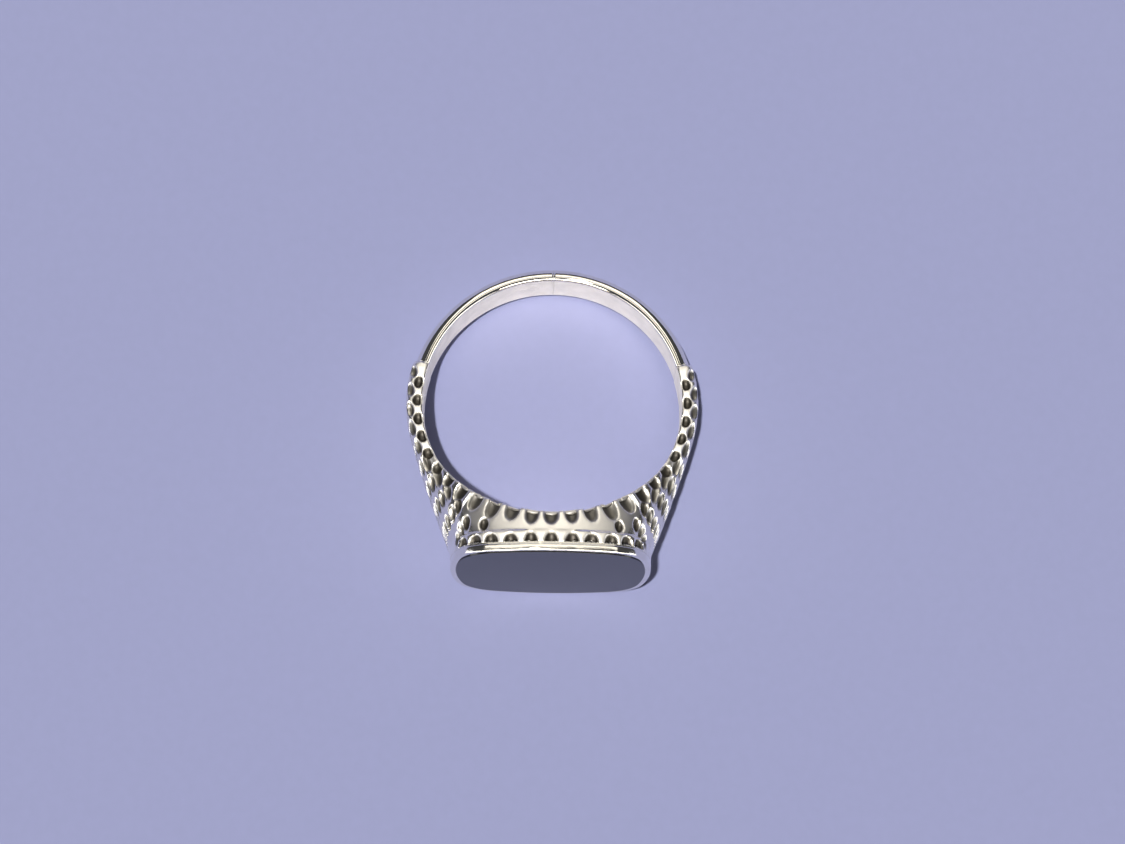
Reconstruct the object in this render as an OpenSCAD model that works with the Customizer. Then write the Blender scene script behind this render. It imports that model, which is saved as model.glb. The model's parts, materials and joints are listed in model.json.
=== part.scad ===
// Signet ring, lying on its side as it rests on a table.
// A flat dark cushion-shaped stone sits in a plain collar on a dimpled head,
// and the dimpled shoulders run into a plain D-section shank.
// Origin: centre of the finger hole. The stone faces -Y and the shank is towards +Y.

/* [Finger hole and shank] */
// Diameter of the finger hole
finger_d = 18; // [17:0.25:19]
// Thickness of the plain shank at its crest
shank_t = 1.1; // [1:0.05:1.3]
// Width of the plain shank, across the finger
shank_w = 3.3; // [2.8:0.1:3.6]
// Height of the crown on the shank's outside
shank_crown = 0.3; // [0.2:0.05:0.5]
// Radius of the rounding on the shank's inner edges
inner_round = 0.25; // [0.1:0.05:0.35]

/* [Head] */
// Distance from the finger hole's centre to the stone's flat top
table_height = 11.9; // [11.7:0.1:12.3]
// Depth of the stone's setting: pocket and rim together
setting_depth = 1.5; // [1.4:0.05:1.6]
// Height of the plain rim round the stone
rim_height = 0.62; // [0.55:0.01:0.7]
// Half width of the head at the edge of the finger hole
head_half_w = 5.7; // [5.4:0.1:5.8]
// Flare of the head's side walls towards the stone, in degrees
head_flare = 8; // [4:0.5:10]
// Radius of the head's side walls, seen from the stone's side
side_radius = 11.8; // [11:0.1:13]
// Angle from the stone's axis to the joint between head and shoulder
head_angle = 36; // [34:0.5:38]

/* [Shoulders] */
// How far the dimpled band stands proud of the plain shank
band_proud = 0.08; // [0.04:0.02:0.12]
// How much wider the dimpled band is than the plain shank, on each side
band_extra = 0.15; // [0.05:0.05:0.25]
// Angle past the ring's widest point at which the texture stops
step_angle = 17; // [14:1:20]
// Angle below the ring's widest point at which the flank leaves the circle
flank_start = 14; // [12:0.5:16]
// Radius of the long arc that shapes the flank
flank_radius = 44.5; // [42:0.5:48]

/* [Stone and collar] */
// Half length of the collar's outline, round the finger
collar_a = 6.9; // [6.8:0.05:7]
// Half width of the collar's outline, along the finger
collar_b = 6; // [5.85:0.05:6.1]
// Width of the rim that shows round the stone
rim_w = 0.45; // [0.38:0.01:0.5]
// How far the rim stays below the stone's top
rim_drop = 0.06; // [0.03:0.01:0.1]
// Thickness of the stone
stone_t = 1.05; // [0.9:0.05:1.1]
// Width of the bevel round the stone's top, under the lip
bevel_w = 0.14; // [0.1:0.02:0.18]
// Height of the bevel round the stone's top
bevel_h = 0.3; // [0.2:0.02:0.36]
// Width of the ledge that carries the stone
ledge_w = 0.7; // [0.5:0.05:1]

/* [Dimples] */
// Angle between neighbouring dimples, seen from the finger hole's centre
dimple_step = 8.15; // [8:0.05:8.4]
// Radius of the ball that cuts a scoop at the finger hole's edge
ball_r = 0.72; // [0.6:0.02:0.8]
// Depth of a scoop
dimple_depth = 0.25; // [0.15:0.01:0.3]
// Distance between neighbouring dimples across the outer face of a shoulder
row_gap = 0.7; // [0.7:0.01:0.85]
// Radius of the ball that cuts a dimple of the outer face
small_ball_r = 0.42; // [0.36:0.01:0.44]
// Depth of a dimple of the outer face
small_depth = 0.17; // [0.12:0.01:0.17]

/* [Hidden] */
$fn = 96;

silver = "gainsboro";
solder = "silver";

// Radii of the cushion outline's sides, ends and corners, as shares of its half width
cushion_side = 3;
cushion_end = 2.3;
cushion_corner = 0.52;

// Thickness of a solder seam, and half of it as an angle round the finger hole
solder_t = 0.1;
seam = atan(solder_t / finger_d);
far = 30;
overlap = 0.01;

bore_r = finger_d / 2;
shank_r = bore_r + shank_t;
band_r = shank_r + band_proud;
band_w = shank_w + 2 * band_extra;
seat = table_height - setting_depth;
rim_base = table_height - rim_height;
rim_top = table_height - rim_drop;
stone_a = collar_a - rim_w + bevel_w;
stone_b = collar_b - rim_w + bevel_w;
stone_base = table_height - stone_t;

// The flank's long arc comes out of the band's circle at a shallow angle
flank_dir = [cos(flank_start), -sin(flank_start)];
flank_inset = 0.02;
flank_centre = -(flank_radius - band_r + flank_inset) * flank_dir;

// The ring rests on the collar's inner edge and on the side of its shank,
// and this tilt brings both onto one level plane.
rest_tilt = atan((collar_b - shank_w / 2) / (seat - overlap + shank_r - shank_crown));

module lying() {
    rotate([-rest_tilt, 0, 0])
        children();
}

// ---- outlines and tools ----

// Extrudes an outline that is seen from the stone's side, between two distances
// from the finger hole's centre.
module towards_stone(from, to) {
    translate([0, -from, 0])
        rotate([90, 0, 0])
            linear_extrude(to - from)
                children();
}

// A cushion outline from true arcs: two long sides, two ends and four rounded corners
module cushion(a, b) {
    side_r = cushion_side * b;
    end_r = cushion_end * b;
    corner_r = cushion_corner * b;
    side_c = [0, b - side_r];
    end_c = [a - end_r, 0];
    // The corner's centre is found where both offset arcs cross
    rs = side_r - corner_r;
    re = end_r - corner_r;
    gap = norm(end_c - side_c);
    along = (rs * rs - re * re + gap * gap) / (2 * gap);
    across = sqrt(rs * rs - along * along);
    u = (end_c - side_c) / gap;
    corner_c = side_c + along * u + across * [u[1], -u[0]];
    side_t = side_c + (corner_c - side_c) * side_r / rs;
    end_t = end_c + (corner_c - end_c) * end_r / re;
    slope = (side_t[1] - end_t[1]) / (side_t[0] - end_t[0]);
    y_cut = side_t[1] - slope * side_t[0];
    x_cut = -y_cut / slope;
    intersection() {
        translate(side_c) circle(r = side_r);
        translate(-side_c) circle(r = side_r);
        translate(end_c) circle(r = end_r);
        translate(-end_c) circle(r = end_r);
        polygon([[x_cut, 0], [0, y_cut], [-x_cut, 0], [0, -y_cut]]);
    }
    for (sx = [-1, 1], sy = [-1, 1])
        translate([sx * corner_c[0], sy * corner_c[1]])
            circle(r = corner_r);
}

// A wedge between two angles round the finger hole's axis
module sector(from, to) {
    mid = (from + to) / 2;
    linear_extrude(far, center = true)
        polygon([[0, 0], far * [cos(from), sin(from)], far * [cos(mid), sin(mid)], far * [cos(to), sin(to)]]);
}

// The D shape of the shank, turned round the finger hole
module d_band(r, w) {
    half = w / 2;
    crown_r = (half * half + shank_crown * shank_crown) / (2 * shank_crown);
    rotate_extrude($fn = 180)
        intersection() {
            translate([bore_r, -half]) square([r - bore_r, w]);
            translate([r - crown_r, 0]) circle(r = crown_r);
        }
}

// What rounds both inner edges of the shank
module inner_edges(w) {
    for (side = [0, 1])
        mirror([0, 0, side])
            rotate_extrude($fn = 180)
                difference() {
                    translate([bore_r - 1, w / 2 - inner_round]) square([1 + inner_round, 1]);
                    translate([bore_r + inner_round, w / 2 - inner_round]) circle(r = inner_round, $fn = 24);
                }
}

// ---- head and shoulders before they are cut apart ----

// The head and shoulders seen along the finger hole: a circle with two long flank arcs
module body_outline() {
    circle(r = band_r, $fn = 180);
    intersection() {
        translate(flank_centre) circle(r = flank_radius, $fn = 360);
        translate([-flank_centre[0], flank_centre[1]]) circle(r = flank_radius, $fn = 360);
        translate([-far / 2, -seat]) square([far, seat + band_r * flank_dir[1]]);
    }
}

// One side wall of the head: a flared cylinder that passes its edge at the finger hole
module side_wall() {
    translate([0, -bore_r, head_half_w])
        rotate([90 - head_flare, 0, 0])
            translate([0, -side_radius, 0])
                cylinder(r = side_radius, h = 2 * far, center = true, $fn = 180);
}

// Rounds the corners under the collar
module corner_cone() {
    seat_r = 1.05 * collar_a;
    slope = 0.36;
    translate([0, -seat, 0])
        rotate([-90, 0, 0])
            cylinder(r1 = seat_r, r2 = seat_r + slope * seat, h = seat);
}

// What the head's width is cut to: the flared walls, and a slab for the narrow sides
module width_limits() {
    intersection() {
        side_wall();
        mirror([0, 0, 1]) side_wall();
        corner_cone();
    }
    translate([-far / 2, -far / 2, -band_w / 2])
        cube([far, far, band_w]);
}

// The stretch of head and shoulders between two angles, before its dimples are cut
module blank(from, to) {
    difference() {
        intersection() {
            linear_extrude(far, center = true) body_outline();
            width_limits();
            sector(from, to);
        }
        cylinder(r = bore_r, h = far, center = true, $fn = 180);
    }
}

// ---- dimples ----

// The point on a side wall at x and y, and the wall's direction there
function wall_point(x, y) =
    let (sag = sqrt(side_radius * side_radius - x * x) - side_radius)
    let (run = (-bore_r + sag * sin(head_flare) - y) / cos(head_flare))
    [x, y, head_half_w + sag * cos(head_flare) + run * sin(head_flare)];
function wall_normal(x) =
    let (lean = sqrt(1 - pow(x / side_radius, 2)))
    [x / side_radius, lean * sin(head_flare), lean * cos(head_flare)];

// A point on the flank at an angle from the stone's axis, and the flank's direction there
function flank_point(angle) =
    let (dir = [sin(angle), -cos(angle)], along = dir * flank_centre)
    angle > 90 - flank_start ? band_r * dir
        : (along + sqrt(along * along - flank_centre * flank_centre + flank_radius * flank_radius)) * dir;
function flank_normal(angle) =
    angle > 90 - flank_start ? [sin(angle), -cos(angle)]
        : (flank_point(angle) - flank_centre) / flank_radius;

// How far out of the surface each ball's centre lies
lift = ball_r - dimple_depth;
small_lift = small_ball_r - small_depth;

// Ball centres of the scoops along the finger hole's edge, at an angle from the stone's axis
scoop_r = bore_r + 0.45;
function scoop(angle) =
    let (x = scoop_r * sin(angle), y = -scoop_r * cos(angle), p = wall_point(x, y))
    p[2] > band_w / 2 ? p + lift * wall_normal(x) : [x, y, band_w / 2 + lift];

// Ball centre of a dimple on a side wall
function wall_dimple(x, y) = wall_point(x, y) + lift * wall_normal(x);

// The arches just under the rim: their distance, their height and the wall that they cut
arch_gap = dimple_step * PI / 180 * bore_r;
arch_y = rim_base - 0.25;
arch_lift = ball_r - 0.18;
function collar_wall(x) =
    let (side_r = cushion_side * collar_b)
    collar_b - side_r + sqrt(side_r * side_r - x * x);

// Balls over both side walls; their poles lie along the wall
module side_balls(centres) {
    for (side = [0, 1])
        mirror([0, 0, side])
            for (c = centres)
                translate(c) rotate([90, 0, 0]) sphere(r = ball_r, $fn = 24);
}

// A row of small balls across the outer face of a shoulder, as many as its width takes.
// Their poles point straight into the metal.
module outer_row(angle) {
    p = flank_point(angle);
    n = flank_normal(angle);
    half_w = max(band_w / 2, wall_point(p[0], p[1])[2]);
    dimple_r = sqrt(small_ball_r * small_ball_r - small_lift * small_lift);
    count = floor((half_w - dimple_r - 0.03) / row_gap);
    centre = p + small_lift * n;
    for (j = [-count : count])
        translate([centre[0], centre[1], j * row_gap])
            rotate([0, 0, atan2(n[1], n[0])])
                rotate([0, 90, 0])
                    sphere(r = small_ball_r, $fn = 24);
}

module head_dimples() {
    side_balls([for (i = [-4 : 4]) scoop(i * dimple_step)]);
    side_balls([for (i = [-4 : 4]) [i * arch_gap, -arch_y, collar_wall(i * arch_gap) + arch_lift]]);
    side_balls([for (side = [-1, 1]) wall_dimple(side * 4.9, -9.6)]);
}

// The right shoulder's dimples: scoops at the finger hole, and between them rows
// across the outer face
first_scoop = 5;
last_scoop = 12;
// How far the first row lies past the joint with the head, in degrees
first_row = 3.4;
module shoulder_dimples() {
    side_balls([for (i = [first_scoop : last_scoop]) scoop(i * dimple_step)]);
    outer_row(head_angle + first_row);
    for (i = [first_scoop : last_scoop])
        outer_row((i + 0.5) * dimple_step);
}

// ---- stone, collar and what is under the stone ----

module stone_shape() {
    shrink = [1 - bevel_w / stone_a, 1 - bevel_w / stone_b];
    intersection() {
        towards_stone(stone_base, table_height) cushion(stone_a, stone_b);
        union() {
            towards_stone(stone_base, table_height - bevel_h) cushion(stone_a, stone_b);
            translate([0, -(table_height - bevel_h), 0])
                rotate([90, 0, 0])
                    linear_extrude(bevel_h, scale = shrink, slices = 1) cushion(stone_a, stone_b, $fn = 48);
        }
    }
}

module onyx_tablet() {
    color("darkslategray") lying() stone_shape();
}

module stone_cement() {
    color("dimgray") lying()
        towards_stone(seat, stone_base) cushion(stone_a - ledge_w, stone_b - ledge_w);
}

module bearing_ledge() {
    color(silver) lying()
        towards_stone(seat, stone_base)
            difference() {
                cushion(stone_a, stone_b);
                cushion(stone_a - ledge_w, stone_b - ledge_w);
            }
}

module bezel_rim() {
    color(silver) lying()
        difference() {
            towards_stone(rim_base + solder_t, rim_top) cushion(collar_a, collar_b);
            stone_shape();
        }
}

module bezel_solder() {
    color(solder) lying()
        towards_stone(rim_base, rim_base + solder_t)
            difference() {
                cushion(collar_a, collar_b);
                cushion(stone_a, stone_b);
            }
}

// ---- metal round the finger ----

head_from = -90 - head_angle;
head_to = -90 + head_angle;

module head_block() {
    color(silver) lying()
        difference() {
            union() {
                blank(head_from + seam, head_to - seam);
                towards_stone(seat - overlap, rim_base) cushion(collar_a, collar_b);
            }
            towards_stone(seat, table_height) cushion(stone_a, stone_b);
            head_dimples();
        }
}

module right_shoulder_shape() {
    difference() {
        blank(head_to + seam, step_angle - seam);
        shoulder_dimples();
    }
}

module right_shoulder() {
    color(silver) lying() right_shoulder_shape();
}

module left_shoulder() {
    color(silver) lying() mirror([1, 0, 0]) right_shoulder_shape();
}

module right_head_solder() {
    color(solder) lying() blank(head_to - seam, head_to + seam);
}

module left_head_solder() {
    color(solder) lying() mirror([1, 0, 0]) blank(head_to - seam, head_to + seam);
}

module shank_part(from, to) {
    difference() {
        intersection() {
            d_band(shank_r, shank_w);
            sector(from, to);
        }
        inner_edges(shank_w);
    }
}

module right_shank() {
    color(silver) lying() shank_part(step_angle + seam, 90 - seam);
}

module left_shank() {
    color(silver) lying() mirror([1, 0, 0]) shank_part(step_angle + seam, 90 - seam);
}

module right_shank_solder() {
    color(solder) lying() shank_part(step_angle - seam, step_angle + seam);
}

module left_shank_solder() {
    color(solder) lying() mirror([1, 0, 0]) shank_part(step_angle - seam, step_angle + seam);
}

module back_seam_solder() {
    color(solder) lying() shank_part(90 - seam, 90 + seam);
}

onyx_tablet();
stone_cement();
bearing_ledge();
bezel_rim();
bezel_solder();
head_block();
left_shoulder();
right_shoulder();
left_head_solder();
right_head_solder();
left_shank();
right_shank();
left_shank_solder();
right_shank_solder();
back_seam_solder();
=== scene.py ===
import json
import math
from collections import namedtuple

import bmesh
import bpy
import numpy as np
from mathutils import Matrix, Vector


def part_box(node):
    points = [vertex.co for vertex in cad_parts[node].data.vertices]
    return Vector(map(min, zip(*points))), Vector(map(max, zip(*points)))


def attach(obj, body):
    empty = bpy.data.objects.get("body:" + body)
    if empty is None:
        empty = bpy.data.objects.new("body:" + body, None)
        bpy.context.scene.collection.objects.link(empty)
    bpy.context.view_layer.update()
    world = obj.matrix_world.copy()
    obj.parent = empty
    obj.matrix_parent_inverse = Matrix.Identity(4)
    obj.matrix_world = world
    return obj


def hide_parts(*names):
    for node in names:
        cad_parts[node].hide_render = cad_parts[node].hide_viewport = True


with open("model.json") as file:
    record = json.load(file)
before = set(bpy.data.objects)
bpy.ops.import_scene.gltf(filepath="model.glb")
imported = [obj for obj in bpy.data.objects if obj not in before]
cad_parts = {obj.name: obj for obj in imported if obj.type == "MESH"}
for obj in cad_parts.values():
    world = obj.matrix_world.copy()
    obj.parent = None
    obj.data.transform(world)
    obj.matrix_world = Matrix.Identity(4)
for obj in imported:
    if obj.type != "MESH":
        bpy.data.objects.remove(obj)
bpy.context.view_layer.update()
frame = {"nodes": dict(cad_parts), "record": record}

# ---------------------------------------------------------------------------
# The ring frame. Sizes below are in millimetres, with the finger hole along Z,
# the stone towards -Y and the shank towards +Y. The ring lies on its side, so
# the record's finger hole is tilted; to_row() turns a point into that row frame.
# ---------------------------------------------------------------------------
MM = 0.001


def mount(name):
    return next(m for m in frame["record"]["mounts"] if m["name"] == name)


HOLE_AXIS = mount("finger_bore")["axis"]
TILT = math.atan2(HOLE_AXIS[1], HOLE_AXIS[2])
LIE = np.array([
    [1, 0, 0],
    [0, math.cos(TILT), math.sin(TILT)],
    [0, -math.sin(TILT), math.cos(TILT)],
])


def to_row(points):
    return np.asarray(points) @ LIE.T * MM


# Finger hole and shank
BORE_R = mount("finger_bore")["dims"]["r_mm"]
SHANK_T = 1.1
SHANK_HALF_W = 1.65
SHANK_CROWN = 0.3
SHANK_CORNER = 0.8
SHANK_INNER_EDGE = 0.42

# Head and shoulders
BAND_PROUD = 0.08
BAND_R = BORE_R + SHANK_T + BAND_PROUD
BAND_HALF_W = 1.8
FLANK_START = math.radians(14)
FLANK_R = 44.5
HEAD_HALF_W = 5.7
WALL_R = 11.8
WALL_FLARE = math.tan(math.radians(8))
HEAD_ANGLE = 36
STEP_ANGLE = 107
END_TAPER = 104
END_DROP = 0.11
SEAM_T = 0.1
SEAM = math.degrees(math.atan(SEAM_T / (2 * BORE_R)))

# How softly the faces of head and shoulders meet. The edge between the outer face and
# the side walls is rounder where the body is wide.
WALL_BLEND = 0.8
EDGE_ROUND, EDGE_ROUND_MAX, EDGE_GROWTH = 0.7, 1.8, 0.55
CORNER_R, CORNER_SLOPE, CORNER_ROUND = 1.05, 0.36, 0.6
COLLAR_ROUND, COLLAR_FILLET, COLLAR_TOP_ROUND = 0.3, 0.12, 0.06
HOLE_ROUND = 0.26

# Stone and collar
TABLE_Y = 11.9
SEAT_Y = 10.4
RIM_BASE_Y = 11.28
RIM_TOP_Y = 11.84
COLLAR_A = 6.9
COLLAR_B = 6.0
RIM_W = 0.45
BEVEL_W = 0.14
BEVEL_H = 0.3
STONE_T = 1.05
STONE_A = COLLAR_A - RIM_W + BEVEL_W
STONE_B = COLLAR_B - RIM_W + BEVEL_W

rng = np.random.default_rng(11)


# ---------------------------------------------------------------------------
# Outlines
# ---------------------------------------------------------------------------
class Cushion:
    """A cushion outline from true arcs: two long sides, two ends and four rounded corners."""

    SIDE, END, CORNER = 3.0, 2.3, 0.52

    def __init__(self, a, b):
        self.a, self.b = a, b
        self.side_r, self.end_r, self.corner_r = self.SIDE * b, self.END * b, self.CORNER * b
        self.side_c = np.array([0, b - self.side_r])
        self.end_c = np.array([a - self.end_r, 0])
        rs, re = self.side_r - self.corner_r, self.end_r - self.corner_r
        gap = np.linalg.norm(self.end_c - self.side_c)
        along = (rs * rs - re * re + gap * gap) / (2 * gap)
        across = math.sqrt(rs * rs - along * along)
        u = (self.end_c - self.side_c) / gap
        self.corner_c = self.side_c + along * u + across * np.array([u[1], -u[0]])
        if self.corner_c.min() < 0:
            self.corner_c = self.side_c + along * u - across * np.array([u[1], -u[0]])
        self.to_side = (self.corner_c - self.side_c) / rs
        self.to_end = (self.corner_c - self.end_c) / re

    def distance(self, x, z):
        """Signed distance from the outline, negative inside."""
        x, z = np.abs(x), np.abs(z)
        side = np.hypot(x - self.side_c[0], z - self.side_c[1]) - self.side_r
        end = np.hypot(x - self.end_c[0], z - self.end_c[1]) - self.end_r
        corner = np.hypot(x - self.corner_c[0], z - self.corner_c[1]) - self.corner_r
        over_side = self.to_side[0] * (z - self.side_c[1]) - self.to_side[1] * (x - self.side_c[0]) > 0
        over_end = self.to_end[0] * (z - self.end_c[1]) - self.to_end[1] * (x - self.end_c[0]) < 0
        return np.where(over_side, side, np.where(over_end, end, corner))

    def at(self, x):
        """The point of the outline at x, on the side of positive z, and the outward direction there."""
        p, n = self.points(4000)
        upper = p[:, 1] > 0
        i = int(np.argmin(np.abs(p[upper, 0] - x)))
        return p[upper][i], n[upper][i]

    def points(self, count):
        """Points round the outline at equal distances, and the outward direction at each."""
        turn_side = math.atan2(self.to_side[1], self.to_side[0])
        turn_end = math.atan2(self.to_end[1], self.to_end[0])
        arcs = [
            (self.end_c, self.end_r, 0, turn_end),
            (self.corner_c, self.corner_r, turn_end, turn_side),
            (self.side_c, self.side_r, turn_side, math.pi / 2),
        ]
        quarter, normal = [], []
        for centre, radius, start, stop in arcs:
            turn = np.linspace(start, stop, 200, endpoint=False)
            direction = np.stack([np.cos(turn), np.sin(turn)], 1)
            quarter.append(centre + radius * direction)
            normal.append(direction)
        quarter, normal = np.concatenate(quarter), np.concatenate(normal)
        p, n = [quarter], [normal]
        for sx, sz, step in ((-1, 1, -1), (-1, -1, 1), (1, -1, -1)):
            p.append((quarter * [sx, sz])[::step])
            n.append((normal * [sx, sz])[::step])
        p, n = np.concatenate(p), np.concatenate(n)
        p, n = np.vstack([p, p[:1]]), np.vstack([n, n[:1]])
        run = np.concatenate([[0], np.cumsum(np.linalg.norm(np.diff(p, axis=0), axis=1))])
        at = np.linspace(0, run[-1], count, endpoint=False)
        p = np.stack([np.interp(at, run, p[:, i]) for i in range(2)], 1)
        n = np.stack([np.interp(at, run, n[:, i]) for i in range(2)], 1)
        return p, n / np.linalg.norm(n, axis=1, keepdims=True)


COLLAR = Cushion(COLLAR_A, COLLAR_B)
STONE = Cushion(STONE_A, STONE_B)


def smooth_max(a, b, k):
    """The larger of a and b, with the corner between them rounded over k."""
    h = np.maximum(k - np.abs(a - b), 0) / k
    return np.maximum(a, b) + h * h * k / 4


def smooth_min(a, b, k):
    return -smooth_max(-a, -b, k)


# ---------------------------------------------------------------------------
# The body of head and shoulders as a signed field, negative inside the metal
# ---------------------------------------------------------------------------
FLANK_DIR = (math.cos(FLANK_START), -math.sin(FLANK_START))
FLANK_C = (-(FLANK_R - BAND_R) * FLANK_DIR[0], -(FLANK_R - BAND_R) * FLANK_DIR[1])


def profile(x, y):
    """Signed distance from the outline seen along the finger hole."""
    x = np.abs(x)
    from_stone = np.arctan2(x, -y)
    circle = np.hypot(x, y) - BAND_R
    flank = np.hypot(x - FLANK_C[0], y - FLANK_C[1]) - FLANK_R
    return np.where(from_stone < math.pi / 2 - FLANK_START, flank, circle)


def half_width(x, y):
    """Half width of the body along the finger hole at x and y."""
    x = np.minimum(np.abs(x), WALL_R - 0.01)
    wall = HEAD_HALF_W + np.sqrt(WALL_R**2 - x * x) - WALL_R - WALL_FLARE * (y + BORE_R)
    return smooth_max(wall, np.full_like(wall, BAND_HALF_W), WALL_BLEND)


def body(x, y, z):
    width = half_width(x, y)
    from_stone = np.degrees(np.arctan2(np.abs(x), -y))
    end = np.clip((from_stone - END_TAPER) / (STEP_ANGLE - END_TAPER), 0, 1)
    edge = np.clip(EDGE_ROUND + EDGE_GROWTH * (width - BAND_HALF_W), EDGE_ROUND, EDGE_ROUND_MAX)
    f = smooth_max(profile(x, y), np.abs(z) - width, edge)
    cone = np.hypot(x, z) - (CORNER_R * COLLAR_A + CORNER_SLOPE * (SEAT_Y + y))
    f = smooth_max(f, cone, CORNER_ROUND)
    collar = smooth_max(COLLAR.distance(x, z), y + SEAT_Y, COLLAR_ROUND)
    f = smooth_min(f, collar, COLLAR_FILLET)
    f = smooth_max(f, -y - RIM_BASE_Y, COLLAR_TOP_ROUND) + END_DROP * end * end
    return smooth_max(f, BORE_R - np.hypot(x, y), HOLE_ROUND)


def gradient(x, y, z, h=2e-3):
    g = np.stack([
        body(x + h, y, z) - body(x - h, y, z),
        body(x, y + h, z) - body(x, y - h, z),
        body(x, y, z + h) - body(x, y, z - h),
    ], -1)
    return g / np.linalg.norm(g, axis=-1, keepdims=True)


def onto_surface(p):
    """The point of the body's surface nearest to p, and the outward direction there."""
    p = np.array(p, float)
    for _ in range(12):
        f = body(*[np.array([v]) for v in p])[0]
        p = p - f * gradient(*[np.array([v]) for v in p])[0] * 0.9
    return p, gradient(*[np.array([v]) for v in p])[0]


# ---------------------------------------------------------------------------
# One quarter of the body's surface: radial sections, each from the middle of
# the finger hole's wall, over the side, to the crest of the outer face
# ---------------------------------------------------------------------------
HEAD_COLUMNS = 120
SHOULDER_COLUMNS = 190
HALF_ROWS = 125
RAYS = 420
CREST_NEAR, CREST_FAR = 0.5, 15
RAY_FAR = 14.0
# The hole's wall is plain, so it gets fewer rows than the dimpled faces
WALL_WEIGHT = 0.14
WALL_TOLERANCE = 0.015

angles = np.concatenate([
    np.linspace(0, HEAD_ANGLE - SEAM, HEAD_COLUMNS),
    [HEAD_ANGLE, HEAD_ANGLE + SEAM],
    np.linspace(HEAD_ANGLE + SEAM, STEP_ANGLE - SEAM, SHOULDER_COLUMNS)[1:],
])
HEAD_END = HEAD_COLUMNS - 1
SHOULDER_START = HEAD_END + 2


def bisect(inside, low, high, steps=24):
    low, high = low.copy(), high.copy()
    for _ in range(steps):
        middle = (low + high) / 2
        within = inside(middle)
        low, high = np.where(within, middle, low), np.where(within, high, middle)
    return (low + high) / 2


def trace_quarter(angles):
    sin_a = np.sin(np.radians(angles))[:, None]
    cos_a = np.cos(np.radians(angles))[:, None]
    column = np.ones_like(sin_a)
    crest = bisect(
        lambda r: body(r * sin_a, -r * cos_a, 0 * r) < 0,
        (BORE_R + CREST_NEAR) * column, CREST_FAR * column,
    )
    centre = (crest + BORE_R) / 2
    reach = (crest - BORE_R) / 2
    width = half_width(centre * sin_a, -centre * cos_a)
    t = np.linspace(0, math.pi, RAYS)[None, :]
    dr, dz = -np.cos(t) * reach, np.sin(t) * width
    length = np.hypot(dr, dz)
    dr, dz = dr / length, dz / length

    def inside(d):
        r = centre + dr * d
        return body(r * sin_a, -r * cos_a, dz * d) < 0

    d = bisect(inside, np.zeros_like(dr), np.full_like(dr, RAY_FAR))
    r, z = centre + dr * d, dz * d
    step = np.hypot(np.diff(r, axis=1), np.diff(z, axis=1))
    on_wall = (r[:, 1:] + r[:, :-1]) / 2 < BORE_R + WALL_TOLERANCE
    weight = step * np.where(on_wall, WALL_WEIGHT, 1)
    rows_r, rows_z, edge_run = [], [], []
    for i in range(len(angles)):
        run = np.concatenate([[0], np.cumsum(weight[i])])
        at = np.linspace(0, run[-1], HALF_ROWS)
        rows_r.append(np.interp(at, run, r[i]))
        rows_z.append(np.interp(at, run, z[i]))
        true_run = np.concatenate([[0], np.cumsum(step[i])])
        edge_run.append((true_run - (step[i] * on_wall[i]).sum(), r[i], z[i]))
    rows_r, rows_z = np.array(rows_r), np.array(rows_z)
    rows_z[:, 0] = 0
    rows_z[:, -1] = 0
    return np.stack([rows_r * sin_a, -rows_r * cos_a, rows_z], -1), edge_run


quarter, contours = trace_quarter(angles)
quarter_normals = gradient(quarter[..., 0], quarter[..., 1], quarter[..., 2])
quarter_normals[0, :, 0] = 0
quarter_normals[:, [0, -1], 2] = 0


def mirrored(values):
    """The whole grid from its quarter: the other half of each section, then the other half of the ring."""
    lower = values[:, -2:0:-1] * [1, 1, -1]
    loop = np.concatenate([values, lower], 1)
    left = loop[:0:-1] * [-1, 1, 1]
    return np.concatenate([left, loop], 0)


surface = mirrored(quarter)
normals = mirrored(quarter_normals)
all_angles = np.concatenate([-angles[:0:-1], angles])
MIDDLE = len(angles) - 1


def contour_point(angle, from_edge):
    """A point of the upper side at an angle from the stone's axis and a distance from the hole's edge."""
    column = int(np.argmin(np.abs(angles - abs(angle))))
    run, r, z = contours[column]
    radius, height = np.interp(from_edge, run, r), np.interp(from_edge, run, z)
    a = math.radians(angle)
    return [radius * math.sin(a), -radius * math.cos(a), height]


def contour_length(angle):
    return contours[int(np.argmin(np.abs(angles - abs(angle))))][0][-1]


# ---------------------------------------------------------------------------
# Dimples: each is an elliptical bowl sunk along the surface's own direction
# ---------------------------------------------------------------------------
# Each bowl carries how dark its bottom is painted, as patina and painted shade
Bowl = namedtuple("Bowl", "half_along half_across depth stain steep")

# Scoops along the finger hole's edge. Where a value is a pair, its first number belongs
# to the middle of the head and its second to the shoulders.
SCOOP_PITCH = 8.15
LAST_SCOOP = 12
SCOOP_INSET = (0.32, 0.42)
SCOOP_HALF_LENGTH = (0.84, 0.4)
SCOOP_HALF_WIDTH = (0.52, 0.46)
SCOOP_DEPTH = (0.36, 0.3)
# How dark the scoops' bottoms are: patina and painted shade
SCOOP_SHADE_AND_PATINA = (0.7, 1.0)
SCOOP_STEEP = 0.5
NARROW_AFTER, NARROW_OVER = 4.5, 3
LONG_SCOOPS, LONGER_BY = (3, 4, 5), 0.12

# Arches under the collar, at these distances from the middle of each long side
ARCH_X = (0.0, 1.38, 2.72, 4.03, 5.16, 5.98)
ARCH_Y = -11.2
# The arches' bottoms get full patina and painted shade
ARCH_BOWL = Bowl(0.66, 0.5, 0.34, 1.0, 0.6)
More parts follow.
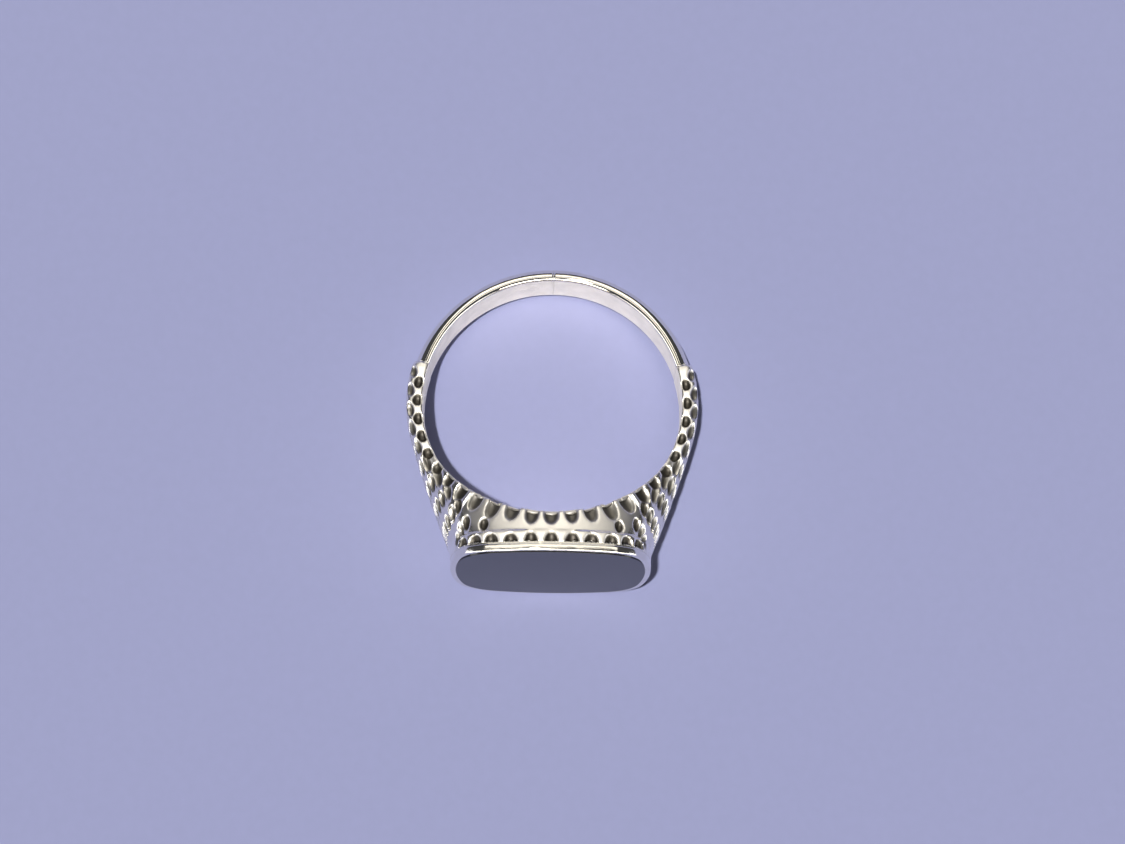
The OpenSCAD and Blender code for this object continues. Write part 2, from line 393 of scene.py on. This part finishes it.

# Rows of dimples across the shoulder: angle from the stone's axis, how far the first
# dimple lies from the finger hole's edge, half length and half width of each dimple.
# The first dimple of a row near the head gets the darkest patina and painted shade.
SHOULDER_ROWS = [
    (24.9, 1.9, 0.5, 0.34), (31.2, 2.25, 0.56, 0.34), (37.6, 1.5, 0.62, 0.34), (45.0, 1.08, 0.72, 0.34),
    (53.0, 0.84, 0.74, 0.34), (61.5, 0.86, 0.7, 0.34), (69.6, 0.95, 0.64, 0.34), (77.7, 1.0, 0.6, 0.34),
    (85.8, 1.0, 0.6, 0.34), (94.0, 1.0, 0.6, 0.34), (102.0, 1.0, 0.5, 0.34),
]
COLUMN_PITCH = 0.77
ROW_DEPTH = 0.28
# How dark the dimples' bottoms are: patina and painted shade
PLAIN_SHADE_AND_PATINA, PLAIN_STEEP = 0.72, 0.8
DARK_SHADE_AND_PATINA, DARK_STEEP = 1.0, 0.6
ROW_LEAN = 0.3
ONE_COLUMN_BELOW = 28
DARK_BELOW = 40
TEXTURE_END_Y = -10.75

# No dimple starts nearer to another than CLEAR; each is a little off in size and place
CLEAR = 0.55
SIZE_WOBBLE = 0.07
PLACE_WOBBLE = 0.03

pits = []


def note_pit(p, n, flow, bowl, upper):
    """Notes a dimple at p on the upper side, or at its mirror image, longest along flow."""
    along = flow - n * (flow @ n)
    along /= np.linalg.norm(along)
    across = np.cross(n, along)
    if not upper:
        flip = np.array([1, 1, -1])
        p, n, along, across = p * flip, n * flip, along * flip, across * flip
    if any(np.linalg.norm(p - other[0]) < CLEAR for other in pits):
        return
    wobble = 1 + rng.uniform(-SIZE_WOBBLE, SIZE_WOBBLE, 3)
    shift = rng.uniform(-PLACE_WOBBLE, PLACE_WOBBLE, 2)
    p = p + along * shift[0] + across * shift[1]
    bowl = bowl._replace(
        half_along=bowl.half_along * wobble[0],
        half_across=bowl.half_across * wobble[1],
        depth=bowl.depth * wobble[2],
    )
    pits.append((p, n, along, across, bowl))


def blend(low, high, share):
    share = min(max(share, 0), 1)
    return low + (high - low) * share


def cut_scoops(upper):
    for i in range(-LAST_SCOOP, LAST_SCOOP + 1):
        narrow = (abs(i) - NARROW_AFTER) / NARROW_OVER
        longer = LONGER_BY if abs(i) in LONG_SCOOPS else 0.0
        p, n = onto_surface(contour_point(i * SCOOP_PITCH, blend(*SCOOP_INSET, narrow) + longer))
        bowl = Bowl(
            blend(*SCOOP_HALF_LENGTH, narrow) + longer, blend(*SCOOP_HALF_WIDTH, narrow),
            blend(*SCOOP_DEPTH, narrow), blend(*SCOOP_SHADE_AND_PATINA, narrow), SCOOP_STEEP,
        )
        note_pit(p, n, np.array([-p[0], -p[1], 0.0]), bowl, upper)


def cut_arches(upper):
    for x in ARCH_X:
        for side in (-1, 1) if x else (1,):
            p, n = COLLAR.at(side * x)
            place = np.array([p[0], ARCH_Y, p[1]])
            note_pit(place, np.array([n[0], 0, n[1]]), np.array([0.0, -1, 0]), ARCH_BOWL, upper)


def cut_row(side, angle, first, half_along, half_across, upper):
    length = contour_length(angle)
    spaces = max(1, round((length - first) / COLUMN_PITCH))
    pitch = (length - first) / spaces
    near_head = angle < DARK_BELOW
    flow = np.array([0.0 if near_head else -side * ROW_LEAN, -1, 0.0])
    for column in range(spaces + 1):
        if column and angle < ONE_COLUMN_BELOW or (column == spaces and not upper):
            break
        p, n = onto_surface(contour_point(side * angle, first + column * pitch))
        dark = column == 0 and near_head
        bowl = Bowl(
            half_along, half_across, ROW_DEPTH,
            DARK_SHADE_AND_PATINA if dark else PLAIN_SHADE_AND_PATINA, DARK_STEEP if dark else PLAIN_STEEP,
        )
        if p[1] > TEXTURE_END_Y:
            note_pit(p, n, flow, bowl, upper)


def cut_side(upper):
    cut_scoops(upper)
    cut_arches(upper)
    for side in (-1, 1):
        for row in SHOULDER_ROWS:
            cut_row(side, *row, upper)


cut_side(True)
cut_side(False)

# Each bowl has a shallow skirt round it, and works only on metal that faces its way
SKIRT = 1.5
SKIRT_DEPTH = 0.05
SKIRT_STEEP = 1.4
JOIN = 0.04
FACING_FROM, FACING_OVER = 0.2, 0.3
# Share of a bowl's depth at which its patina and painted shade reach full strength
FULL_SHADE_AND_PATINA = 0.6


def sink_pits(points, directions):
    """How deep each surface point lies in its dimple, in millimetres, and how much patina and painted shade
    darken it there.
    """
    flat, out = points.reshape(-1, 3), directions.reshape(-1, 3)
    depth, pit_shade_and_patina = np.zeros(len(flat)), np.zeros(len(flat))
    for p, n, along, across, bowl in pits:
        reach = max(bowl.half_along, bowl.half_across) * SKIRT**0.5
        near = np.nonzero(np.abs(flat - p).max(1) < reach)[0]
        offset = flat[near] - p
        q = (offset @ along / bowl.half_along) ** 2 + (offset @ across / bowl.half_across) ** 2
        facing = np.clip((out[near] @ n - FACING_FROM) / FACING_OVER, 0, 1)
        cup = (bowl.depth - SKIRT_DEPTH) * np.maximum(1 - q, 0) ** bowl.steep * facing
        total = cup + SKIRT_DEPTH * np.maximum(1 - q / SKIRT, 0) ** SKIRT_STEEP * facing
        depth[near] = np.where(total > 1e-4, smooth_max(depth[near], total, JOIN), depth[near])
        # Patina and painted shade, darker the deeper the bowl
        shade_and_patina_share = bowl.stain * np.clip(cup / (FULL_SHADE_AND_PATINA * bowl.depth), 0, 1)
        pit_shade_and_patina[near] = np.maximum(pit_shade_and_patina[near], shade_and_patina_share)
    return depth.reshape(points.shape[:-1]), pit_shade_and_patina.reshape(points.shape[:-1])


# Patina and painted shade in the dimples' bottoms, kept as a vertex attribute for the silver
depth, pit_shade_and_patina = sink_pits(surface, normals)
carved = surface - normals * depth[..., None]


# ---------------------------------------------------------------------------
# Meshes
# ---------------------------------------------------------------------------
def make_mesh(name, vertices, faces, attributes=None):
    """A smooth-shaded object in the row frame from ring-frame vertices in millimetres."""
    mesh = bpy.data.meshes.new(name)
    mesh.from_pydata([tuple(v) for v in to_row(vertices)], [], faces)
    mesh.validate()
    shell = bmesh.new()
    shell.from_mesh(mesh)
    bmesh.ops.recalc_face_normals(shell, faces=shell.faces)
    shell.to_mesh(mesh)
    shell.free()
    for key, values in (attributes or {}).items():
        mesh.attributes.new(key, "FLOAT", "POINT").data.foreach_set("value", np.asarray(values, np.float32))
    mesh.polygons.foreach_set("use_smooth", [True] * len(mesh.polygons))
    mesh.update()
    obj = bpy.data.objects.new(name, mesh)
    bpy.context.scene.collection.objects.link(obj)
    return obj


def tube(name, grid, attributes=None):
    """A solid from a grid of closed loops: side faces, and a fan on each end."""
    columns, rows = grid.shape[:2]
    vertices = grid.reshape(-1, 3)
    index = np.arange(columns * rows).reshape(columns, rows)
    a, b = index[:-1], index[1:]
    quads = np.stack([a, b, np.roll(b, -1, 1), np.roll(a, -1, 1)], -1).reshape(-1, 4)
    first, last = len(vertices), len(vertices) + 1
    vertices = np.vstack([vertices, grid[0].mean(0), grid[-1].mean(0)])
    faces = [tuple(q) for q in quads.tolist()]
    for loop, tip, flip in ((index[0], first, False), (index[-1], last, True)):
        for i, j in zip(loop.tolist(), np.roll(loop, -1).tolist()):
            faces.append((tip, j, i) if flip else (tip, i, j))
    values = {}
    for key, grid_values in (attributes or {}).items():
        flat = grid_values.reshape(-1)
        values[key] = np.concatenate([flat, [0, 0]])
    return make_mesh(name, vertices, faces, values)


# Where each finish of the silver lies: brushed on the hole's wall, satin on the side walls
BORE_BLEND = 0.06
SATIN_FROM, SATIN_OVER = 0.82, 0.13


def bore_share(radius):
    return np.clip(1 - (radius - BORE_R) / BORE_BLEND, 0, 1)


on_bore = bore_share(np.hypot(surface[..., 0], surface[..., 1]))
on_side = np.clip((np.abs(normals[..., 2]) - SATIN_FROM) / SATIN_OVER, 0, 1)


def place_in_row(obj, node):
    """Makes obj part of the ring's one body, in the place of a CAD node."""
    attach(obj, "root")
    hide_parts(node)
    return obj


def carved_piece(name, start, stop, node):
    cut = slice(start, stop + 1)
    attributes = {"pit_shade_and_patina": pit_shade_and_patina[cut], "bore": on_bore[cut], "satin": on_side[cut]}
    return place_in_row(tube(name, carved[cut], attributes), node)


pieces = {}
pieces["head"] = carved_piece("carved_head", MIDDLE - HEAD_END, MIDDLE + HEAD_END, "head_block")
for label, sign in (("left", -1), ("right", 1)):
    ends = sorted((MIDDLE + sign * HEAD_END, MIDDLE + sign * SHOULDER_START))
    pieces[label + "_seam"] = carved_piece(label + "_head_solder_line", *ends, label + "_head_solder")
    ends = sorted((MIDDLE + sign * SHOULDER_START, MIDDLE + sign * (len(angles) - 1)))
    pieces[label + "_shoulder"] = carved_piece(label + "_carved_shoulder", *ends, label + "_shoulder")


SECTION_RAYS, SECTION_FAR = 1400, 3.0


def shank_section(rows=110):
    """The D of the shank as points (r, z), from the middle of its inner face all round."""
    crown = (SHANK_HALF_W**2 + SHANK_CROWN**2) / (2 * SHANK_CROWN)
    outer = BORE_R + SHANK_T

    def field(r, z):
        f = smooth_max(np.abs(z) - SHANK_HALF_W, np.hypot(r - outer + crown, z) - crown, SHANK_CORNER)
        return smooth_max(f, BORE_R - r, SHANK_INNER_EDGE)

    middle = BORE_R + SHANK_T / 2
    t = np.linspace(0, 2 * math.pi, SECTION_RAYS)
    dr, dz = -np.cos(t) * SHANK_T / 2, np.sin(t) * SHANK_HALF_W
    length = np.hypot(dr, dz)
    dr, dz = dr / length, dz / length
    d = bisect(
        lambda s: field(middle + dr * s, dz * s) < 0, np.zeros_like(t), np.full_like(t, SECTION_FAR),
    )
    r, z = middle + dr * d, dz * d
    run = np.concatenate([[0], np.cumsum(np.hypot(np.diff(r), np.diff(z)))])
    at = np.linspace(0, run[-1], rows, endpoint=False)
    return np.interp(at, run, r), np.interp(at, run, z)


SECTION_R, SECTION_Z = shank_section()


def shank_piece(name, start, stop, columns, node):
    turn = np.radians(np.linspace(start, stop, columns))[:, None]
    grid = np.stack([
        SECTION_R * np.sin(turn), -SECTION_R * np.cos(turn), SECTION_Z + 0 * turn,
    ], -1)
    bore = bore_share(SECTION_R) + 0 * turn
    return place_in_row(tube(name, grid, {"pit_shade_and_patina": 0 * bore, "bore": bore}), node)


BACK = 180
SHANK_COLUMNS, SEAM_COLUMNS = 110, 3
shank_spans = [
    ("right_shank_half", STEP_ANGLE + SEAM, BACK - SEAM, SHANK_COLUMNS, "right_shank"),
    ("left_shank_half", -BACK + SEAM, -STEP_ANGLE - SEAM, SHANK_COLUMNS, "left_shank"),
    ("right_shank_solder_line", STEP_ANGLE - SEAM, STEP_ANGLE + SEAM, SEAM_COLUMNS, "right_shank_solder"),
    ("left_shank_solder_line", -STEP_ANGLE - SEAM, -STEP_ANGLE + SEAM, SEAM_COLUMNS, "left_shank_solder"),
    ("back_seam_solder_line", BACK - SEAM, BACK + SEAM, SEAM_COLUMNS, "back_seam_solder"),
]
for name, start, stop, columns, node in shank_spans:
    pieces[name] = shank_piece(name, start, stop, columns, node)


# ---------------------------------------------------------------------------
# Stone and collar: profiles carried round a cushion outline
# ---------------------------------------------------------------------------
OUTLINE_POINTS = 420

# The burnished lip is faintly wavy, as handwork is: full waves round the outline, and
# how much of each wave's height also goes sideways
WAVES = (5, 9, 17, 31, 47)
WAVE_HEIGHT = 0.014
WAVE_SIDEWAYS = 0.6


def arc(centre, radius, start, stop, count):
    turn = np.radians(np.linspace(start, stop, count))
    return [(centre[0] + radius * math.cos(t), centre[1] + radius * math.sin(t)) for t in turn]


def carried(name, outline, section, closed, waviness=0.0):
    """Carries section round the outline. Its points: inset, distance from the hole's centre, waviness."""
    p, n = outline.points(OUTLINE_POINTS)
    wave = np.zeros(OUTLINE_POINTS)
    turn = np.linspace(0, 2 * math.pi, OUTLINE_POINTS, endpoint=False)
    for cycles in WAVES:
        wave += np.cos(cycles * turn + rng.uniform(0, 2 * math.pi)) / cycles**0.5
    wave *= waviness / 2
    rings = []
    for inset, height, lively in section:
        at = p - n * (inset - wave[:, None] * lively * WAVE_SIDEWAYS)
        rings.append(np.stack([at[:, 0], -(height + wave * lively), at[:, 1]], -1))
    grid = np.array(rings)
    if closed:
        rows = len(section)
        index = np.arange(rows * OUTLINE_POINTS).reshape(rows, OUTLINE_POINTS)
        a, b = index, np.roll(index, -1, 0)
        quads = np.stack([a, b, np.roll(b, -1, 1), np.roll(a, -1, 1)], -1).reshape(-1, 4)
        return make_mesh(name, grid.reshape(-1, 3), [tuple(q) for q in quads.tolist()])
    return tube(name, grid)


# The collar: a foot with a slight swell, a rounded outer lip, and an inner lip that
# leans over the stone's bevel
LIP_R, INNER_LIP_R, LIP_SETBACK = 0.1, 0.05, 0.02
SWELL, SWELL_AT, SWELL_END = 0.01, 0.06, 0.2
bevel_slope = BEVEL_W / BEVEL_H
inner_base = RIM_W - BEVEL_W
rim_low = RIM_BASE_Y + SEAM_T
lip_inset = inner_base + bevel_slope * (RIM_TOP_Y - TABLE_Y + BEVEL_H)
outer_lip = arc((LIP_R + LIP_SETBACK, RIM_TOP_Y - LIP_R), LIP_R, 180, 90, 7)
inner_lip = arc((lip_inset - INNER_LIP_R, RIM_TOP_Y - INNER_LIP_R), INNER_LIP_R, 90, 10, 6)
rim_section = [(0.0, rim_low, 0), (-SWELL, rim_low + SWELL_AT, 0), (0.0, rim_low + SWELL_END, 0.3)]
rim_section += [(inset, height, 1) for inset, height in outer_lip + inner_lip]
rim_section += [(inner_base + 0.4 * (lip_inset - inner_base), TABLE_Y - 0.6 * BEVEL_H, 0)]
rim_section += [(inner_base, TABLE_Y - BEVEL_H, 0), (inner_base, rim_low, 0)]
rim = place_in_row(carried("burnished_bezel_rim", COLLAR, rim_section, True, WAVE_HEIGHT), "bezel_rim")

# The stone: a small chamfer underneath, straight sides, the bevel, and a softened edge
# that runs out into the flat top
STONE_EDGE_R, STONE_CHAMFER = 0.035, 0.03
STONE_TOP_RINGS = (0.02, 0.4, 1.0, 1.8)
stone_base = TABLE_Y - STONE_T
bevel_foot = TABLE_Y - BEVEL_H
stone_section = [(STONE_CHAMFER, stone_base, 0), (0.0, stone_base + STONE_CHAMFER, 0)]
stone_section += [(0.0, bevel_foot - 0.02, 0), (0.005, bevel_foot + 0.015, 0)]
stone_section += [(0.7 * BEVEL_W, TABLE_Y - 0.3 * BEVEL_H, 0)]
stone_section += [
    (BEVEL_W - STONE_EDGE_R * (1 - s) * 0.7, TABLE_Y - STONE_EDGE_R * (1 - s) ** 1.6, 0)
    for s in np.linspace(0, 1, 6)
]
stone_section += [(BEVEL_W + w, TABLE_Y, 0) for w in STONE_TOP_RINGS]
stone = place_in_row(carried("polished_onyx", STONE, stone_section, False), "onyx_tablet")


def cut_pocket(obj):
    """Cuts the stone's pocket out of the head."""
    section = [(0.0, SEAT_Y, 0), (0.0, TABLE_Y + 1, 0)]
    cutter = carried("pocket", STONE, section, False)
    mod = obj.modifiers.new("pocket", "BOOLEAN")
    mod.operation, mod.object, mod.solver = "DIFFERENCE", cutter, "MANIFOLD"
    graph = bpy.context.evaluated_depsgraph_get()
    mesh = bpy.data.meshes.new_from_object(obj.evaluated_get(graph), depsgraph=graph)
    obj.modifiers.clear()
    obj.data = mesh
    bpy.data.objects.remove(cutter)


cut_pocket(pieces["head"])


# ---------------------------------------------------------------------------
# Materials
# ---------------------------------------------------------------------------
class Surface:
    """A material being built from nodes, with short calls to add and join them."""

    def __init__(self, name):
        self.material = bpy.data.materials.new(name)
        self.material.use_nodes = True
        self.tree = self.material.node_tree
        self.shader = self.tree.nodes["Principled BSDF"]

    def add(self, kind, inputs=None, **settings):
        node = self.tree.nodes.new(kind)
        for key, value in settings.items():
            setattr(node, key, value)
        for key, value in (inputs or {}).items():
            self.feed(node.inputs[key], value)
        return node

    def feed(self, socket, value):
        if isinstance(value, bpy.types.NodeSocket):
            self.tree.links.new(value, socket)
        else:
            socket.default_value = value

    def coords(self, scale):
        """Object coordinates turned into the ring frame, then scaled."""
        place = self.add("ShaderNodeTexCoord").outputs["Object"]
        upright = self.add("ShaderNodeVectorRotate", {"Vector": place, "Angle": TILT}, rotation_type="X_AXIS")
        scaled = self.add("ShaderNodeVectorMath", {0: upright.outputs[0], 1: scale}, operation="MULTIPLY")
        return scaled.outputs[0]

    def noise(self, scale, detail=3.0, rough=0.5):
        """Noise with so many spots to the metre along X, Y and Z."""
        node = self.add("ShaderNodeTexNoise", {
            "Vector": self.coords(scale), "Scale": 1.0, "Detail": detail, "Roughness": rough,
        })
        return node.outputs["Fac"]

    def attribute(self, name):
        return self.add("ShaderNodeAttribute", attribute_name=name).outputs["Fac"]

    def span(self, value, low, high, to_low=0.0, to_high=1.0):
        return self.add("ShaderNodeMapRange", {
            "Value": value, "From Min": low, "From Max": high, "To Min": to_low, "To Max": to_high,
        }).outputs["Result"]

    def between(self, share, a, b):
        return self.add("ShaderNodeMix", {0: share, 2: a, 3: b}, data_type="FLOAT").outputs[0]

    def mix(self, share, a, b):
        """A colour between a and b."""
        node = self.add("ShaderNodeMix", data_type="RGBA")
        self.feed(node.inputs[0], share)
        self.feed(node.inputs[6], a)
        self.feed(node.inputs[7], b)
        return node.outputs[2]

    def math(self, operation, a, b=0.0):
        return self.add("ShaderNodeMath", {0: a, 1: b}, operation=operation).outputs[0]

    def bump(self, height, strength, distance):
        return self.add("ShaderNodeBump", {
            "Height": height, "Strength": strength, "Distance": distance,
        }).outputs["Normal"]

    def set(self, **values):
        for key, value in values.items():
            self.feed(self.shader.inputs[key.replace("_", " ")], value)


# Silver: colours of clean metal and of the dimples' bottoms darkened by patina and painted shade, and the
# roughness of each finish
TINT, SOLDER_TINT = (0.95, 0.915, 0.85, 1), (0.88, 0.85, 0.78, 1)
PIT_SHADE_AND_PATINA, SOLDER_PIT_SHADE_AND_PATINA = (0.075, 0.068, 0.058, 1), (0.085, 0.078, 0.07, 1)
WORN_TONE = 0.9
SATIN_ROUGHNESS = (0.44, 0.58)
BRUSHED_ROUGHNESS = (0.6, 0.8)
SHADE_AND_PATINA_ROUGHNESS = 0.45
SHADE_AND_PATINA_RANGE = (0.1, 0.75)
LINES_IN_BORE, LINES_ELSEWHERE, GRAIN_SHARE = 4.0, 0.1, 0.25
SILVER_BUMP, SILVER_BUMP_HEIGHT = 0.6, 0.00001


def silver(name, tint, dark, polish):
    """Silver: polished to the roughness given, satin on side walls, brushed in the hole, dark in dimples from
    patina and painted shade.
    """
    s = Surface(name)
    patina = s.noise((900, 900, 900), 4.0, 0.55)
    grain = s.noise((9000, 9000, 9000), 2.0, 0.5)
    brush = s.noise((260, 260, 26000), 3.0, 0.6)
    bore = s.attribute("bore")
    worn_tint = tuple(WORN_TONE * c for c in tint[:3]) + (1,)
    base = s.mix(s.span(patina, 0.35, 0.7), tint, worn_tint)
    # Patina and painted shade darken the dimples' bottoms
    shade_and_patina_share = s.span(s.attribute("pit_shade_and_patina"), *SHADE_AND_PATINA_RANGE)
    s.set(Base_Color=s.mix(shade_and_patina_share, base, dark), Metallic=1.0)
    polished = s.span(patina, 0.3, 0.75, *polish)
    satin = s.span(patina, 0.3, 0.75, *SATIN_ROUGHNESS)
    brushed = s.span(brush, 0.3, 0.7, *BRUSHED_ROUGHNESS)
    outside = s.between(s.attribute("satin"), polished, satin)
    clean = s.between(bore, outside, brushed)
    s.set(Roughness=s.between(shade_and_patina_share, clean, SHADE_AND_PATINA_ROUGHNESS))
    line_depth = s.math("ADD", s.math("MULTIPLY", bore, LINES_IN_BORE), LINES_ELSEWHERE)
    height = s.math("ADD", s.math("MULTIPLY", brush, line_depth), s.math("MULTIPLY", grain, GRAIN_SHARE))
    s.set(Normal=s.bump(height, SILVER_BUMP, SILVER_BUMP_HEIGHT))
    return s.material


dimpled_silver = silver("dimpled_silver", TINT, PIT_SHADE_AND_PATINA, (0.14, 0.3))
shank_silver = silver("shank_silver", TINT, PIT_SHADE_AND_PATINA, (0.03, 0.09))
rim_silver = silver("rim_silver", TINT, PIT_SHADE_AND_PATINA, (0.08, 0.14))
seam_silver = silver("seam_silver", SOLDER_TINT, SOLDER_PIT_SHADE_AND_PATINA, (0.16, 0.32))
shank_seam_silver = silver("shank_seam_silver", SOLDER_TINT, SOLDER_PIT_SHADE_AND_PATINA, (0.04, 0.11))

ONYX_DEEP, ONYX_CLOUD = (0.004, 0.004, 0.006, 1), (0.012, 0.013, 0.019, 1)
ONYX_ROUGHNESS, ONYX_IOR, ONYX_SHINE = (0.025, 0.09), 1.54, 0.38
CEMENT_DARK, CEMENT_LIGHT = (0.22, 0.2, 0.17, 1), (0.34, 0.32, 0.28, 1)
CEMENT_ROUGHNESS = (0.65, 0.9)


def onyx():
    s = Surface("black_onyx")
    cloud = s.noise((420, 420, 420), 4.0, 0.55)
    smudge = s.noise((700, 700, 1400), 5.0, 0.6)
    scratch = s.noise((600, 600, 14000), 2.0, 0.6)
    s.set(Base_Color=s.mix(s.span(cloud, 0.3, 0.75), ONYX_DEEP, ONYX_CLOUD))
    s.set(Roughness=s.span(smudge, 0.35, 0.75, *ONYX_ROUGHNESS), IOR=ONYX_IOR)
    s.set(Specular_IOR_Level=ONYX_SHINE, Normal=s.bump(scratch, 0.05, 0.000004))
    return s.material


def cement():
    s = Surface("setting_cement")
    grain = s.noise((3000, 3000, 3000), 4.0, 0.6)
    s.set(Base_Color=s.mix(grain, CEMENT_DARK, CEMENT_LIGHT))
    s.set(Roughness=s.span(grain, 0.2, 0.8, *CEMENT_ROUGHNESS), Normal=s.bump(grain, 0.5, 0.00003))
    return s.material


def paint(obj, material):
    obj.data.materials.clear()
    obj.data.materials.append(material)


onyx_black = onyx()
cement_grey = cement()
for key, obj in pieces.items():
    if "solder" in key or "seam" in key:
        paint(obj, shank_seam_silver if "line" in key else seam_silver)
    elif "shank" in key:
        paint(obj, shank_silver)
    else:
        paint(obj, dimpled_silver)
paint(rim, rim_silver)
paint(stone, onyx_black)
node_finish = {
    "stone_cement": cement_grey, "bearing_ledge": dimpled_silver, "bezel_solder": seam_silver,
    "onyx_tablet": onyx_black,
}
for name, node in frame["nodes"].items():
    finish = node_finish.get(name, seam_silver if "solder" in name else dimpled_silver)
    for slot in node.material_slots:
        slot.material = finish
    if not node.material_slots:
        node.data.materials.append(finish)

# ---------------------------------------------------------------------------
# Floor, lights and camera
# ---------------------------------------------------------------------------
FLOOR_HALF = 3.0
FLOOR_COLOR = (0.385, 0.405, 0.65, 1)
FLOOR_LIGHTER = 1.06
FLOOR_ROUGHNESS = 0.9


def make_floor():
    height = min(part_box(name)[0].z for name in frame["nodes"])
    mesh = bpy.data.meshes.new("floor")
    corners = [(-1, -1), (1, -1), (1, 1), (-1, 1)]
    mesh.from_pydata([(x * FLOOR_HALF, y * FLOOR_HALF, height) for x, y in corners], [], [(0, 1, 2, 3)])
    floor = bpy.data.objects.new("floor", mesh)
    bpy.context.scene.collection.objects.link(floor)
    s = Surface("pale_floor")
    tone = s.noise((1500, 1500, 1500), 3.0, 0.5)
    lighter = tuple(FLOOR_LIGHTER * c for c in FLOOR_COLOR[:3]) + (1,)
    s.set(Base_Color=s.mix(tone, FLOOR_COLOR, lighter))
    s.set(Roughness=FLOOR_ROUGHNESS, Specular_IOR_Level=0.0)
    paint(floor, s.material)


make_floor()


def from_angles(azimuth, elevation):
    """The direction towards an azimuth, counted from -Y towards +X, and an elevation."""
    a, e = math.radians(azimuth), math.radians(elevation)
    return Vector((math.sin(a) * math.cos(e), -math.cos(a) * math.cos(e), math.sin(e)))


CAMERA_AIM = Vector((0.737, -0.927, -0.086)) * MM
CAMERA_AWAY = 185 * MM
CAMERA_AZIMUTH, CAMERA_ELEVATION, CAMERA_ROLL = -5.514, 84.249, 6.225
CAMERA_LENS, SENSOR_W = 84.48, 36
CAMERA_NEAR, CAMERA_FAR = 0.005, 20


def make_camera():
    data = bpy.data.cameras.new("camera")
    data.lens, data.sensor_width, data.sensor_fit = CAMERA_LENS, SENSOR_W, "HORIZONTAL"
    data.clip_start, data.clip_end = CAMERA_NEAR, CAMERA_FAR
    camera = bpy.data.objects.new("camera", data)
    bpy.context.scene.collection.objects.link(camera)
    back = from_angles(CAMERA_AZIMUTH, CAMERA_ELEVATION)
    turned = math.radians(CAMERA_AZIMUTH)
    right = Vector((math.cos(turned), math.sin(turned), 0))
    up = back.cross(right)
    turn = Matrix((right, up, back)).transposed().to_4x4()
    place = Matrix.Translation(CAMERA_AIM + back * CAMERA_AWAY)
    camera.matrix_world = place @ turn @ Matrix.Rotation(math.radians(CAMERA_ROLL), 4, "Z")
    bpy.context.scene.camera = camera


WARM, NEUTRAL = (1.0, 0.955, 0.85), (1.0, 1.0, 1.0)
SUN_AZIMUTH, SUN_ELEVATION, SUN_POWER = -75, 83, 2.7
SUN_COLOR, SUN_WIDTH = (1.0, 0.98, 0.95), 1.8
SUN_AWAY, PANEL_AWAY = 0.5, 0.4

# Panels that show in the silver and the stone: name, azimuth, elevation, width, height,
# brightness and colour. The two front strips leave a gap where the stone looks forward.
PANELS = [
    ("back_softbox", 178, 34, 0.34, 0.26, 1.5, WARM),
    ("top_strip", 180, 70, 0.56, 0.1, 1.3, WARM),
    ("front_low_strip", 0, 5, 0.5, 0.08, 12, WARM),
    ("front_high_strip", 0, 41, 0.44, 0.12, 8, WARM),
    ("left_softbox", -66, 12, 0.42, 0.16, 2.6, NEUTRAL),
    ("right_softbox", 66, 12, 0.42, 0.16, 2.6, NEUTRAL),
]
ROOM_COLOR, ROOM_STRENGTH = (0.9, 0.92, 1, 1), 0.06
BACKDROP_COLOR, BACKDROP_STRENGTH = (0.62, 0.64, 0.76, 1), 0.8


def add_light(name, kind, azimuth, elevation, away, power, color, **settings):
    data = bpy.data.lights.new(name, kind)
    data.energy, data.color = power, color
    for key, value in settings.items():
        setattr(data, key, value)
    lamp = bpy.data.objects.new(name, data)
    bpy.context.scene.collection.objects.link(lamp)
    back = from_angles(azimuth, elevation)
    turn = back.to_track_quat("Z", "Y").to_matrix().to_4x4()
    lamp.matrix_world = Matrix.Translation(back * away) @ turn
    return lamp


def softbox(name, azimuth, elevation, width, height, brightness, color):
    """A panel that is seen in reflections and doesn't light the floor."""
    power = brightness * math.pi * width * height
    lamp = add_light(
        name, "AREA", azimuth, elevation, PANEL_AWAY, power, color,
        shape="RECTANGLE", size=width, size_y=height,
    )
    lamp.visible_diffuse = False


def light_scene():
    """One sun for the shadows, the panels, a dim room in reflections and a pale backdrop for the camera."""
    add_light(
        "key", "SUN", SUN_AZIMUTH, SUN_ELEVATION, SUN_AWAY, SUN_POWER, SUN_COLOR,
        angle=math.radians(SUN_WIDTH),
    )
    for panel in PANELS:
        softbox(*panel)
    world = bpy.data.worlds.new("studio")
    world.use_nodes = True
    nodes, links = world.node_tree.nodes, world.node_tree.links
    room = nodes["Background"]
    room.inputs["Color"].default_value = ROOM_COLOR
    room.inputs["Strength"].default_value = ROOM_STRENGTH
    backdrop = nodes.new("ShaderNodeBackground")
    backdrop.inputs["Color"].default_value = BACKDROP_COLOR
    backdrop.inputs["Strength"].default_value = BACKDROP_STRENGTH
    seen = nodes.new("ShaderNodeLightPath")
    mix = nodes.new("ShaderNodeMixShader")
    links.new(seen.outputs["Is Camera Ray"], mix.inputs[0])
    links.new(room.outputs[0], mix.inputs[1])
    links.new(backdrop.outputs[0], mix.inputs[2])
    links.new(mix.outputs[0], nodes["World Output"].inputs[0])
    bpy.context.scene.world = world


make_camera()
light_scene()
bpy.context.scene.view_settings.view_transform = "Standard"
